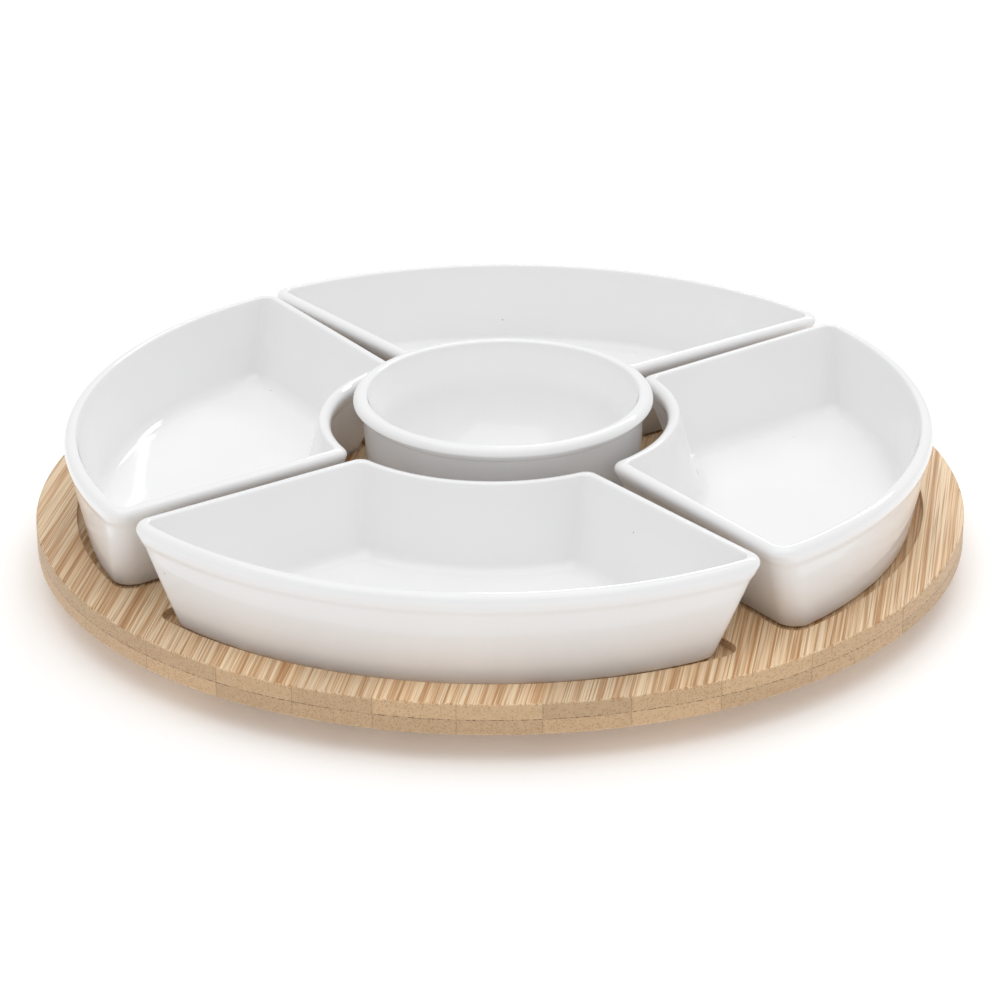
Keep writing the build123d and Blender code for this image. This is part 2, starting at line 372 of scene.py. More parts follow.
        # the glue line between the plies and the joints between strips
        gap = add_node(tree, "ShaderNodeMath", {"operation": "SUBTRACT"}, {0: z, 1: self.glue_z})
        near = add_node(tree, "ShaderNodeMath", {"operation": "ABSOLUTE"}, {0: gap.outputs[0]})
        seam = add_node(
            tree, "ShaderNodeMapRange", None,
            {"Value": near.outputs[0], "From Min": 0.05 * MM, "From Max": 0.22 * MM, "To Min": 1.0, "To Max": 0.0},
        )
        broken = add_node(
            tree, "ShaderNodeTexNoise", None, {"Vector": place, "Scale": 1 / (0.9 * MM), "Detail": 1.0}
        )
        stitched = add_node(
            tree, "ShaderNodeMapRange", None,
            {"Value": broken.outputs["Fac"], "From Min": 0.42, "From Max": 0.62, "To Min": 0.15, "To Max": 0.9},
        )
        seam_mask = add_node(
            tree, "ShaderNodeMath", {"operation": "MULTIPLY"},
            {0: seam.outputs["Result"], 1: stitched.outputs["Result"]},
        )
        part = add_node(tree, "ShaderNodeMath", {"operation": "PINGPONG"}, {0: along.outputs["Result"], 1: 0.5})
        joint = add_node(
            tree, "ShaderNodeMapRange", None,
            {"Value": part.outputs[0], "From Min": 0.003, "From Max": 0.009, "To Min": 0.28, "To Max": 0.0},
        )
        joint_mask = add_node(
            tree, "ShaderNodeMapRange", None,
            {"Value": upright_shade.outputs["Result"], "From Min": self.upright_shade_tone, "From Max": 1.0, "To Min": 1.0, "To Max": 0.2},
        )
        joint_all = add_node(
            tree, "ShaderNodeMath", {"operation": "MULTIPLY"},
            {0: joint.outputs["Result"], 1: joint_mask.outputs["Result"]},
        )
        lines = add_node(
            tree, "ShaderNodeMath", {"operation": "MAXIMUM"}, {0: seam_mask.outputs[0], 1: joint_all.outputs[0]}
        )
        glued = add_node(
            tree, "ShaderNodeMix", {"data_type": "RGBA"},
            {"Factor": lines.outputs[0], 6: toned.outputs["Vector"], 7: linear(self.glue)},
        )

        # slivers broken out along the upper edge, painted near-black as painted shade of their hollows, with no cut in
        # the shape
        under = add_node(tree, "ShaderNodeMath", {"operation": "SUBTRACT"}, {0: self.top_z, 1: z})
        band = add_node(
            tree, "ShaderNodeMapRange", None,
            {"Value": under.outputs[0], "From Min": 0.5 * MM, "From Max": 0.9 * MM, "To Min": 1.0, "To Max": 0.0},
        )
        torn = add_node(
            tree, "ShaderNodeTexNoise", None, {"Vector": place, "Scale": 1 / (9.0 * MM), "Detail": 3.0}
        )
        sliver = add_node(
            tree, "ShaderNodeMapRange", None,
            {"Value": torn.outputs["Fac"], "From Min": 0.66, "From Max": 0.69},
        )
        side = add_node(
            tree, "ShaderNodeMapRange", None,
            {"Value": level.outputs[0], "From Min": 0.5, "From Max": 0.8, "To Min": 1.0, "To Max": 0.0},
        )
        edge_chip_shade = add_node(
            tree, "ShaderNodeMath", {"operation": "MULTIPLY"},
            {0: band.outputs["Result"], 1: sliver.outputs["Result"]},
        )
        chip_hollow_shade_mask = add_node(
            tree, "ShaderNodeMath", {"operation": "MULTIPLY"}, {0: edge_chip_shade.outputs[0], 1: side.outputs["Result"]}
        )
        colour = add_node(
            tree, "ShaderNodeMix", {"data_type": "RGBA"},
            {"Factor": chip_hollow_shade_mask.outputs[0], 6: glued.outputs[2], 7: linear(self.chip)},
        )

        relief = add_node(
            tree, "ShaderNodeMath", {"operation": "SUBTRACT"}, {0: streak.outputs["Fac"], 1: dot.outputs["Result"]}
        )
        bump = add_node(
            tree, "ShaderNodeBump", None, {"Height": relief.outputs[0], "Strength": 0.35, "Distance": 0.05 * MM}
        )
        gloss = add_node(
            tree, "ShaderNodeMapRange", None,
            {"Value": fine.outputs["Fac"], "To Min": self.roughness - 0.08, "To Max": self.roughness + 0.12},
        )
        tree.links.new(colour.outputs[2], shader.inputs["Base Color"])
        tree.links.new(bump.outputs["Normal"], shader.inputs["Normal"])
        tree.links.new(gloss.outputs["Result"], shader.inputs["Roughness"])
        shader.inputs["IOR"].default_value = self.ior
        return material


@dataclass(frozen=True)
class TurnedMetal:
    """Metal cut on a lathe: fine rings round the turntable's axis catch the light in a fan."""

    name: str
    colour: str
    roughness: float
    pitch_mm: float = 0.9       # tool marks, drawn coarser than the real 0.1 mm so that they show
    spread: float = 0.12        # how far the roughness wanders between marks

    def build(self) -> bpy.types.Material:
        """Build the material."""
        material, shader = new_material(self.name)
        tree = material.node_tree
        place = add_node(tree, "ShaderNodeTexCoord").outputs["Object"]
        rings = add_node(
            tree, "ShaderNodeTexWave", {"wave_type": "RINGS", "rings_direction": "Z", "wave_profile": "SIN"},
            {"Vector": place, "Scale": 0.314 / (self.pitch_mm * MM), "Distortion": 0.4, "Detail": 2.0},
        )
        smudge = add_node(
            tree, "ShaderNodeTexNoise", None, {"Vector": place, "Scale": 1 / (12 * MM), "Detail": 3.0}
        )
        gloss = add_node(
            tree, "ShaderNodeMapRange", None,
            {
                "Value": smudge.outputs["Fac"],
                "To Min": self.roughness - self.spread / 2,
                "To Max": self.roughness + self.spread,
            },
        )
        base = linear(self.colour)
        tone = add_node(
            tree, "ShaderNodeMix", {"data_type": "RGBA"},
            {"Factor": rings.outputs["Fac"], 6: tuple(0.86 * c for c in base[:3]) + (1.0,), 7: base},
        )
        bump = add_node(
            tree, "ShaderNodeBump", None, {"Height": rings.outputs["Fac"], "Strength": 0.2, "Distance": 0.02 * MM}
        )
        tree.links.new(tone.outputs[2], shader.inputs["Base Color"])
        tree.links.new(gloss.outputs["Result"], shader.inputs["Roughness"])
        tree.links.new(bump.outputs["Normal"], shader.inputs["Normal"])
        shader.inputs["Metallic"].default_value = 1.0
        return material


@dataclass(frozen=True)
class MouldedPlastic:
    """Moulded nylon or rubber: one colour with a fine spark-eroded grain and no metal in it."""

    name: str
    colour: str
    roughness: float
    ior: float
    grain_mm: float = 0.5
    grain_depth_mm: float = 0.02

    def build(self) -> bpy.types.Material:
        """Build the material."""
        material, shader = new_material(self.name)
        tree = material.node_tree
        place = add_node(tree, "ShaderNodeTexCoord").outputs["Object"]
        grain = add_node(
            tree, "ShaderNodeTexNoise", None,
            {"Vector": place, "Scale": 1 / (self.grain_mm * MM), "Detail": 3.0, "Roughness": 0.6},
        )
        base = linear(self.colour)
        tone = add_node(
            tree, "ShaderNodeMix", {"data_type": "RGBA"},
            {"Factor": grain.outputs["Fac"], 6: tuple(0.82 * c for c in base[:3]) + (1.0,), 7: base},
        )
        bump = add_node(
            tree, "ShaderNodeBump", None,
            {"Height": grain.outputs["Fac"], "Strength": 0.5, "Distance": self.grain_depth_mm * MM},
        )
        gloss = add_node(
            tree, "ShaderNodeMapRange", None,
            {"Value": grain.outputs["Fac"], "To Min": self.roughness - 0.06, "To Max": self.roughness + 0.06},
        )
        tree.links.new(tone.outputs[2], shader.inputs["Base Color"])
        tree.links.new(gloss.outputs["Result"], shader.inputs["Roughness"])
        tree.links.new(bump.outputs["Normal"], shader.inputs["Normal"])
        shader.inputs["IOR"].default_value = self.ior
        return material


# --- mesh making ------------------------------------------------------------------------------------------


@dataclass(frozen=True)
class WedgeOutline:
    """A quarter-ring wedge towards -Y with rounded corners, in millimetres.

    The straight sides run near parallel to the 45 degree lines that divide the tray.
    """

    outer: float
    inner: float
    inset: float                # from the dividing lines to the straight sides, halfway along them
    outer_corner: float
    inner_corner: float
    splay: float = 0.0          # how far each end of a side leaves the parallel

    def ring(self, arc: int = 56, side: int = 14, corner: int = 9) -> Ring:
        """Walk round the outline, the same way and with the same count for every size.

        Args:
            arc: points on the outer arc, and half of them on the inner one.
            side: points on each straight side.
            corner: points on each rounded corner.

        Returns:
            An N by 2 array, anticlockwise seen from above.
        """
        starts = (self.inner, self.inset + self.splay), (self.outer, self.inset - self.splay)
        (near, low), (far, high) = ((math.sqrt(radius**2 - off**2), off) for radius, off in starts)
        tilt = math.atan2(low - high, far - near)
        offset = math.sin(tilt) * far + math.cos(tilt) * high

        def centre(radius: float, corner_radius: float, hand: int) -> np.ndarray:
            inward = offset + corner_radius
            reach = math.sqrt(radius**2 - inward**2)
            along, across = tilt - math.pi / 4, tilt - 3 * math.pi / 4
            return np.array(
                [
                    hand * (reach * math.cos(along) + inward * math.cos(across)),
                    reach * math.sin(along) + inward * math.sin(across),
                ]
            )

        def sweep(middle: np.ndarray, radius: float, start: float, end: float, count: int) -> np.ndarray:
            angles = np.linspace(start, end, count, endpoint=False)
            return middle + radius * np.c_[np.cos(angles), np.sin(angles)]

        def heading(point: np.ndarray) -> float:
            return math.atan2(point[1], point[0])

        outer_r = centre(self.outer - self.outer_corner, self.outer_corner, 1)
        outer_l = centre(self.outer - self.outer_corner, self.outer_corner, -1)
        inner_r = centre(self.inner + self.inner_corner, self.inner_corner, 1)
        inner_l = centre(self.inner + self.inner_corner, self.inner_corner, -1)
        half_turn, turn = math.pi, 2 * math.pi
        zero = np.zeros(2)

        def straight(start: np.ndarray, end: np.ndarray, count: int) -> np.ndarray:
            share = np.linspace(0, 1, count, endpoint=False)[:, None]
            return start + share * (end - start)

        def touch(middle: np.ndarray, radius: float, angle: float) -> np.ndarray:
            return middle + radius * np.array([math.cos(angle), math.sin(angle)])

        right, left = math.pi / 4 + tilt, 3 * math.pi / 4 - tilt
        runs = [
            sweep(zero, self.outer, heading(outer_l), heading(outer_r), arc),
            sweep(outer_r, self.outer_corner, heading(outer_r), right, corner),
            straight(
                touch(outer_r, self.outer_corner, right), touch(inner_r, self.inner_corner, right), side
            ),
            sweep(inner_r, self.inner_corner, right, heading(inner_r) + half_turn, corner),
            sweep(zero, self.inner, heading(inner_r), heading(inner_l), arc // 2),
            sweep(inner_l, self.inner_corner, heading(inner_l) + half_turn, left, corner),
            straight(
                touch(inner_l, self.inner_corner, left), touch(outer_l, self.outer_corner, left), side
            ),
            sweep(outer_l, self.outer_corner, left, heading(outer_l) + turn, corner),
        ]
        return np.vstack(runs)

    def grown(self, amount: float) -> "WedgeOutline":
        """Return the outline moved outwards by an amount, with its corners following."""
        return WedgeOutline(
            self.outer + amount,
            self.inner - amount,
            self.inset - amount,
            self.outer_corner + amount,
            self.inner_corner + amount,
            self.splay,
        )


def circle(radius: float, count: int, middle: tuple[float, float] = (0.0, 0.0)) -> Ring:
    """Return points on a circle, anticlockwise seen from above."""
    angles = np.linspace(0, 2 * math.pi, count, endpoint=False)
    return np.c_[middle[0] + radius * np.cos(angles), middle[1] + radius * np.sin(angles)]


def quarter_turns(ring: Ring, degrees: float, middle: tuple[float, float] = (0.0, 0.0)) -> Ring:
    """Turn a ring about a middle by an angle in degrees."""
    angle = math.radians(degrees)
    matrix = np.array([[math.cos(angle), math.sin(angle)], [-math.sin(angle), math.cos(angle)]])
    return (ring - middle) @ matrix + middle


def at_height(ring: Ring, z: float) -> Ring:
    """Give a flat ring its height."""
    return np.c_[ring, np.full(len(ring), z)]


def blend(one: Corners, two: Corners, share: float) -> Corners:
    """Mix two pairs of corner radii."""
    return tuple(a + share * (b - a) for a, b in zip(one, two))


def arc_steps(count: int) -> list[float]:
    """Return shares of a quarter turn, both ends left out."""
    return [(i + 1) / (count + 1) for i in range(count)]


def object_from(mesh_data: bmesh.types.BMesh, name: str, material: bpy.types.Material, sharp: float) -> bpy.types.Object:
    """Turn a millimetre bmesh into a smooth-shaded object in metres.

    Args:
        mesh_data: the shape, freed here.
        name: the piece's name.
        material: its finish.
        sharp: edges that fold by more degrees than this stay crisp.

    Returns:
        The linked object, at the origin.
    """
    bmesh.ops.scale(mesh_data, vec=(MM, MM, MM), verts=mesh_data.verts)
    mesh = bpy.data.meshes.new(name)
    mesh_data.to_mesh(mesh)
    mesh_data.free()
    mesh.shade_smooth()
    mesh.set_sharp_from_angle(angle=math.radians(sharp))
    mesh.materials.append(material)
    piece = bpy.data.objects.new(name, mesh)
    bpy.context.scene.collection.objects.link(piece)
    return piece


def loft_rings(shape: bmesh.types.BMesh, rings: list[Ring]) -> list[list[bmesh.types.BMVert]]:
    """Skin a list of rings that all have the same count.

    Args:
        shape: the bmesh to add to.
        rings: N by 3 rings, anticlockwise, from the underside's middle up the outside and down the inside.

    Returns:
        The rings' vertices.
    """
    rows = [[shape.verts.new(point) for point in ring] for ring in rings]
    for low, high in zip(rows, rows[1:]):
        for i in range(len(low)):
            j = (i + 1) % len(low)
            shape.faces.new((low[i], low[j], high[j], high[i]))
    return rows


def lathe(points: list[tuple[float, float]], count: int, centre: tuple[float, float] = (0.0, 0.0)) -> list[Ring]:
    """Turn a profile of (radius, height) points into rings."""
    return [at_height(circle(radius, count, centre), height) for radius, height in points]


# --- vessels ------------------------------------------------------------------------------------------------


@dataclass
class WedgeDish:
    """One flared wedge dish with a rounded rim, a faint band under it and a foot ring. Millimetres."""

    place: Place
    finish: bpy.types.Material
    turn: float = 0.0           # degrees about its own middle
    shift: tuple[float, float] = (0.0, 0.0)
    seed: float = 0.0
    height: float = 31.7
    rim_outer: float = 139.65
    rim_inner: float = 53.0
    rim_inset: float = 1.4
    outer_flare: float = 6.35
    inner_flare: float = 9.05
    side_flare: float = 11.9
    side_splay: float = 0.8
    rim_thickness: float = 4.6
    rim_soft: tuple[float, float] = (3.7, 3.4)      # reach and drop of the rounding outside
    rim_tight: tuple[float, float] = (0.76, 0.72)   # and inside
    wall: float = 4.4
    floor: float = 4.6
    rim_corner: float = 6.8
    tip_corner: float = 4.6
    foot_corner: float = 6.2
    inside_corner: float = 2.8
    floor_corner: float = 4.5
    floor_fillet: float = 3.5
    band_height: float = 5.2
    band_step: float = 0.4
    band_blend: float = 3.0     # height over which the band runs out into the wall
    foot_round: float = 1.2
    foot_width: float = 4.0
    foot_depth: float = 0.8
    waver: float = 0.16         # how far a fired wall strays from its mould

    def outline(self, z: float, wall: float, corners: Corners) -> WedgeOutline:
        """Return the outline at a height above the foot, moved inwards by a wall."""
        rise = z / self.height
        return WedgeOutline(
            self.rim_outer - (1 - rise) * self.outer_flare - wall,
            self.rim_inner + (1 - rise) * self.inner_flare + wall,
            self.rim_inset + (1 - rise) * self.side_flare + wall,
            *corners,
            self.side_splay,
        )

    def stations(self) -> list[tuple[float, float, Corners]]:
        """List height, wall and corner radii from the underside's middle to the floor's middle."""
        reach, drop = self.rim_soft
        inner_reach, inner_drop = self.rim_tight
        shoulder = self.height - drop
        band_z = self.height - self.band_height
        foot_wall = self.foot_round + self.foot_width
        foot, rim = (self.foot_corner,) * 2, (self.rim_corner, self.tip_corner)
        floor, inside = (self.floor_corner,) * 2, (self.inside_corner,) * 2
        steps: list[tuple[float, float, Corners]] = []
        for wall in (22.0, 14.0, foot_wall + 0.5):
            steps.append((self.foot_depth, wall, floor))
        steps += [(0.25, foot_wall, floor), (0.0, foot_wall - 0.3, floor)]
        steps.append((0.0, self.foot_round + 0.4, (self.foot_corner - 0.6,) * 2))
        for share in (0.0, *arc_steps(4), 1.0):
            angle = share * math.pi / 2
            wall = self.foot_round * (1 - math.sin(angle)) + self.band_step
            steps.append((self.foot_round * (1 - math.cos(angle)), wall, foot))
        for share in (0.2, 0.4, 0.6, 0.8):
            z = self.foot_round + share * (band_z - self.foot_round)
            steps.append((z, self.band_step, blend(foot, rim, share)))
        for share in (0.0, 0.2, 0.4, 0.6, 0.8, 1.0):
            eased = share * share * (3 - 2 * share)
            z = band_z + (share - 0.7) * self.band_blend
            steps.append((z, self.band_step * (1 - eased), rim))
        for share in (0.0, *arc_steps(9), 1.0):
            angle = share * math.pi / 2
            z, wall = shoulder + drop * math.sin(angle), reach * (1 - math.cos(angle))
            steps.append((z, wall, blend(rim, inside, 0.7 * share)))
        for share in (0.0, *arc_steps(4), 1.0):
            angle = share * math.pi / 2
            z, wall = inner_drop * (math.cos(angle) - 1), inner_reach * (math.sin(angle) - 1)
            steps.append((self.height + z, self.rim_thickness + wall, blend(rim, inside, 0.75 + 0.25 * share)))
        edge_z, fillet_top = self.height - inner_drop, self.floor + self.floor_fillet
        for share in (0.1, 0.25, 0.4, 0.55, 0.7, 0.85, 1.0):
            wall = self.rim_thickness + share * (self.wall - self.rim_thickness)
            steps.append((edge_z + share * (fillet_top - edge_z), wall, blend(inside, floor, share)))
        for share in (*arc_steps(6), 1.0):
            angle = share * math.pi / 2
            z, wall = fillet_top - self.floor_fillet * math.sin(angle), self.floor_fillet * (1 - math.cos(angle))
            steps.append((z, self.wall + wall, floor))
        for wall in (self.wall + self.floor_fillet + 3, self.wall + 10, self.wall + 16):
            steps.append((self.floor, wall, floor))
        return steps

    def build(self) -> bpy.types.Object:
        """Build the dish in its place.

        Returns:
            The finished piece, riding on its body and standing for its CAD node.
        """
        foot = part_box(self.place.node)[0].z / MM
        middle = (0.0, -(self.rim_outer + self.rim_inner) / 2)
        rings = []
        for z, wall, corners in self.stations():
            ring = self.outline(z, wall, corners).ring()
            ring = quarter_turns(ring, self.turn, middle)
            lift = min(1.0, max(0.0, (z - 2.0) / 10.0))
            stray = np.array(
                [
                    noise.noise_vector(Vector((p[0] / 55, p[1] / 55, z / 45 + self.seed)))[:2]
                    for p in ring
                ]
            )
            ring = ring + self.waver * lift * stray
            rings.append(at_height(quarter_turns(ring, self.place.value) + self.shift, foot + z))
        shape = bmesh.new()
        rows = loft_rings(shape, rings)
        shape.faces.new(list(reversed(rows[0])))
        shape.faces.new(rows[-1])
        piece = object_from(shape, f"{self.place.name.lower()}_wedge_dish", self.finish, 60)
        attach(piece, f"{self.place.node}_body")
        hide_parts(self.place.node)
        return piece


@dataclass
class DipBowl:
    """The round centre bowl: near-upright wall, thick rim band with a crisp lower edge, deep inside."""

    finish: bpy.types.Material
    height: float = 39.0
    rim_radius: float = 48.25
    rim_thickness: float = 4.6
    rim_soft: float = 2.576     # rounding outside
    rim_tight: float = 1.012    # and inside
    band_height: float = 4.7
    band_step: float = 2.8
    band_taper: float = 1.5     # the band narrows towards its lower edge
    taper: float = 3.5
    foot_round: float = 6.0
    foot_width: float = 4.0
    foot_depth: float = 0.8
    wall: float = 4.2
    floor: float = 5.0
    inside_round: float = 22.0
    segments: int = 168

    def profile(self) -> list[tuple[float, float]]:
        """List radius and height from the underside's middle to the inside's middle."""
        slope = math.tan(math.radians(self.taper))
        soft, tight = self.rim_soft, self.rim_tight
        band_z = self.height - self.band_height
        wall_top = self.rim_radius - self.band_step
        foot = wall_top - band_z * slope
        ring_in = foot - self.foot_round - self.foot_width
        points = [(0.6, self.foot_depth), (ring_in * 0.5, self.foot_depth), (ring_in - 0.5, self.foot_depth)]
        points += [(ring_in, 0.3), (ring_in + 0.3, 0.0), (foot - self.foot_round, 0.0)]
        for share in (*arc_steps(8), 1.0):
            angle = share * math.pi / 2
            radius = foot - self.foot_round * (1 - math.sin(angle))
            points.append((radius + slope * self.foot_round * share, self.foot_round * (1 - math.cos(angle))))
        groove = 0.7            # glaze fills the corner under the band with a small hollow
        for share in (0.25, 0.5, 0.75, 1.0):
            z = self.foot_round + share * (band_z - groove - self.foot_round)
            points.append((wall_top - (band_z - z) * slope, z))
        for share in (*arc_steps(4), 1.0):
            angle = share * math.pi / 2
            points.append((wall_top + groove * (1 - math.cos(angle)), band_z - groove * (1 - math.sin(angle))))
        lip = 0.7
        band = self.rim_radius - self.band_taper
        points.append((band - lip, band_z))
        for share in (*arc_steps(4), 1.0):
            angle = share * math.pi / 2
            points.append((band - lip * (1 - math.sin(angle)), band_z + lip * (1 - math.cos(angle))))
        for share in (0.0, *arc_steps(8), 1.0):
            angle = share * math.pi / 2
            radius = self.rim_radius - soft * (1 - math.cos(angle))
            points.append((radius, self.height - soft * (1 - math.sin(angle))))
        inside_top = self.rim_radius - self.rim_thickness
        shoulder = self.height - tight
        for share in (0.0, *arc_steps(4), 1.0):
            angle = share * math.pi / 2
            radius = inside_top + tight * (1 - math.sin(angle))
            points.append((radius, self.height - tight * (1 - math.cos(angle))))
        inside_low = foot - self.wall
        bend = self.floor + self.inside_round
        for share in (0.25, 0.5, 0.75, 1.0):
            points.append(
                (inside_top + share * (inside_low - inside_top), shoulder + share * (bend - shoulder))
            )
        for share in (*arc_steps(12), 1.0):
            angle = share * math.pi / 2
            points.append(
                (
                    inside_low - self.inside_round * (1 - math.cos(angle)),
                    bend - self.inside_round * math.sin(angle),
                )
            )
        for share in (0.7, 0.4, 0.03):
            points.append(((inside_low - self.inside_round) * share, self.floor))
        return points

    def build(self) -> bpy.types.Object:
        """Build the bowl where the CAD bowl stands.

        Returns:
            The finished piece.
        """
        low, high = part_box("dip_bowl")
        centre = ((low.x + high.x) / 2 / MM, (low.y + high.y) / 2 / MM)
        foot = low.z / MM
        points = [(radius, foot + z) for radius, z in self.profile()]
        shape = bmesh.new()
        rows = loft_rings(shape, lathe(points, self.segments, centre))
        shape.faces.new(list(reversed(rows[0])))
        shape.faces.new(rows[-1])
        piece = object_from(shape, "round_dip_bowl", self.finish, 60)
        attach(piece, "dip_bowl_body")
        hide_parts("dip_bowl")
        return piece


# --- tray ---------------------------------------------------------------------------------------------------


@dataclass
class BambooTray:
    """Two glued plies. The upper one has a pocket for each vessel and eased edges. Millimetres."""

    upper_finish: bpy.types.Material
    lower_finish: bpy.types.Material
    radius: float = 150.0
    top_round: float = 0.8
    bottom_round: float = 1.2
    pocket: WedgeOutline = field(default_factory=lambda: WedgeOutline(136.9, 60.05, 9.05, 6.0, 6.0))
    bowl_pocket_radius: float = 45.85
    pocket_depth: float = 2.8
    pocket_ease: float = 0.3    # sanded edge of a pocket
    screw_radius: float = 1.5
    screw_circle: float = 75.0
    screw_depth: float = 4.6
    screw_count: int = 4
    segments: int = 320

    def eased_rim(self, radius: float, z: float, ease: float, inward: bool) -> list[Ring]:
        """Return the rings that round over an edge of the disc, from the side onto the face or back."""
        rings = []
        for share in (0.0, *arc_steps(4), 1.0):
            angle = share * math.pi / 2
            out = radius - ease * (1 - math.cos(angle))
            drop = ease * (1 - math.sin(angle))
            rings.append(at_height(circle(out, self.segments), z - drop if inward else z + drop))
        return rings if inward else list(reversed(rings))

    def pocket_rings(self, outline: WedgeOutline | float, degrees: float, top: float) -> list[Ring]:
        """Return the rings of one pocket, from its sanded edge down its wall to its floor."""

        def ring(grow: float) -> Ring:
            if isinstance(outline, WedgeOutline):
                return quarter_turns(outline.grown(grow).ring(48, 16, 8), degrees)
            return circle(outline + grow, 128)

        rings = []
        for share in (0.0, *arc_steps(2), 1.0):
            angle = share * math.pi / 2
            rings.append(
                at_height(ring(self.pocket_ease * (1 - math.sin(angle))), top - self.pocket_ease * (1 - math.cos(angle)))
            )
        bottom = top - self.pocket_depth
        rings += [at_height(ring(0.0), bottom + 0.3), at_height(ring(-0.1), bottom + 0.1)]
        rings.append(at_height(ring(-0.3), bottom))
        return rings

    @staticmethod
    def loop_edges(shape: bmesh.types.BMesh, row: list[bmesh.types.BMVert]) -> list[bmesh.types.BMEdge]:
        """Return the edges of a closed row, made where they are missing."""
        edges = []
        for one, two in zip(row, row[1:] + row[:1]):
            edge = shape.edges.get((one, two))
            edges.append(edge or shape.edges.new((one, two)))
        return edges

    def fill(self, shape: bmesh.types.BMesh, rows: list[list[bmesh.types.BMVert]], up: bool) -> None:
        """Fill a flat face between an outer row and the rows of its holes."""
        edges = [edge for row in rows for edge in self.loop_edges(shape, row)]
        result = bmesh.ops.triangle_fill(shape, edges=edges, use_beauty=True, use_dissolve=False)
        faces = [item for item in result["geom"] if isinstance(item, bmesh.types.BMFace)]
        for face in faces:
            face.normal_update()
            if (face.normal.z > 0) != up:
                face.normal_flip()

    def upper(self) -> bpy.types.Object:
        """Build the upper ply."""
        low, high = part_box("tray_upper_ply")
        base, top = low.z / MM, high.z / MM
        shape = bmesh.new()
        side = loft_rings(
            shape,
            [at_height(circle(self.radius, self.segments), base)]
            + self.eased_rim(self.radius, top, self.top_round, True),
        )
        holes = []
        places = [(self.pocket, place.value) for place in Place] + [(self.bowl_pocket_radius, 0)]
        for outline, degrees in places:
            rows = loft_rings(shape, self.pocket_rings(outline, degrees, top))
            holes.append(rows[0])
            self.fill(shape, [rows[-1]], True)
        self.fill(shape, [side[-1]] + holes, True)
        self.fill(shape, [side[0]], False)
        piece = object_from(shape, "upper_bamboo_ply", self.upper_finish, 40)
        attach(piece, "tray")
        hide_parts("tray_upper_ply")
        return piece

    def lower(self) -> bpy.types.Object:
        """Build the lower ply with its pilot holes."""
        low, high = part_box("tray_lower_ply")
        base, top = low.z / MM, high.z / MM
        shape = bmesh.new()
        side = loft_rings(
            shape,
            self.eased_rim(self.radius, base, self.bottom_round, False)
            + [at_height(circle(self.radius, self.segments), top)],
        )
        holes = []
        for i in range(self.screw_count):
            angle = 2 * math.pi * i / self.screw_count
            centre = (self.screw_circle * math.cos(angle), self.screw_circle * math.sin(angle))
            ring = circle(self.screw_radius, 24, centre)
            rows = loft_rings(shape, [at_height(ring, base + self.screw_depth), at_height(ring, base)])
            for face in {face for vert in rows[0] for face in vert.link_faces}:
                face.normal_flip()
            holes.append(rows[1])
            self.fill(shape, [rows[0]], False)
        self.fill(shape, [side[0]] + holes, False)
        self.fill(shape, [side[-1]], True)
        piece = object_from(shape, "lower_bamboo_ply", self.lower_finish, 40)
        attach(piece, "tray")
        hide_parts("tray_lower_ply")
        return piece


# --- turntable ------------------------------------------------------------------------------------------------


@dataclass
class RadialArray:
    """A Geometry Nodes tree that sets copies of one part evenly round the turntable's axis."""

    name: str
    count: int
    radius: float
    finish: bpy.types.Material

    def tree(self) -> bpy.types.NodeTree:
        """Build the tree: copies on a circle, turned outwards, made real, with the finish set."""
        tree = bpy.data.node_groups.new(f"{self.name}_array", "GeometryNodeTree")
        for name, kind in (
            ("Geometry", "NodeSocketGeometry"),
            ("Count", "NodeSocketInt"),
            ("Circle Radius", "NodeSocketFloat"),
            ("Finish", "NodeSocketMaterial"),
        ):
            tree.interface.new_socket(name, in_out="INPUT", socket_type=kind)
        tree.interface.new_socket("Geometry", in_out="OUTPUT", socket_type="NodeSocketGeometry")
        given = add_node(tree, "NodeGroupInput").outputs
        spots = add_node(
            tree, "GeometryNodeMeshCircle", None, {"Vertices": given["Count"], "Radius": given["Circle Radius"]}
        )
        position = add_node(tree, "GeometryNodeInputPosition")
        outwards = add_node(
            tree, "FunctionNodeAlignRotationToVector", {"axis": "X", "pivot_axis": "Z"},
            {"Vector": position.outputs["Position"]},
        )
        copies = add_node(
            tree, "GeometryNodeInstanceOnPoints", None,
            {
                "Points": spots.outputs["Mesh"],
                "Instance": given["Geometry"],
                "Rotation": outwards.outputs["Rotation"],
            },
        )
        real = add_node(tree, "GeometryNodeRealizeInstances", None, {"Geometry": copies.outputs["Instances"]})
        dressed = add_node(
            tree, "GeometryNodeSetMaterial", None,
            {"Geometry": real.outputs["Geometry"], "Material": given["Finish"]},
        )
        add_node(tree, "NodeGroupOutput", None, {"Geometry": dressed.outputs["Geometry"]})
        return tree

    def build(self, part: bpy.types.Object) -> bpy.types.Object:
        """Set the part round the axis and turn the result into a plain mesh.

        Args:
            part: the part at the axis, at its real height. It is used up.

        Returns:
            The group of copies as one object at the origin.
        """
        tree = self.tree()
        modifier = part.modifiers.new("array", "NODES")
        modifier.node_group = tree
        values = {"Count": self.count, "Circle Radius": self.radius, "Finish": self.finish}
        for item in tree.interface.items_tree:
            if item.in_out == "INPUT" and item.name in values:
                modifier[item.identifier] = values[item.name]
        bpy.context.view_layer.update()
        seen = part.evaluated_get(bpy.context.evaluated_depsgraph_get())
        mesh = bpy.data.meshes.new_from_object(seen)
        mesh.name = self.name
        bpy.data.objects.remove(part)
        piece = bpy.data.objects.new(self.name, mesh)
        bpy.context.scene.collection.objects.link(piece)
        return piece


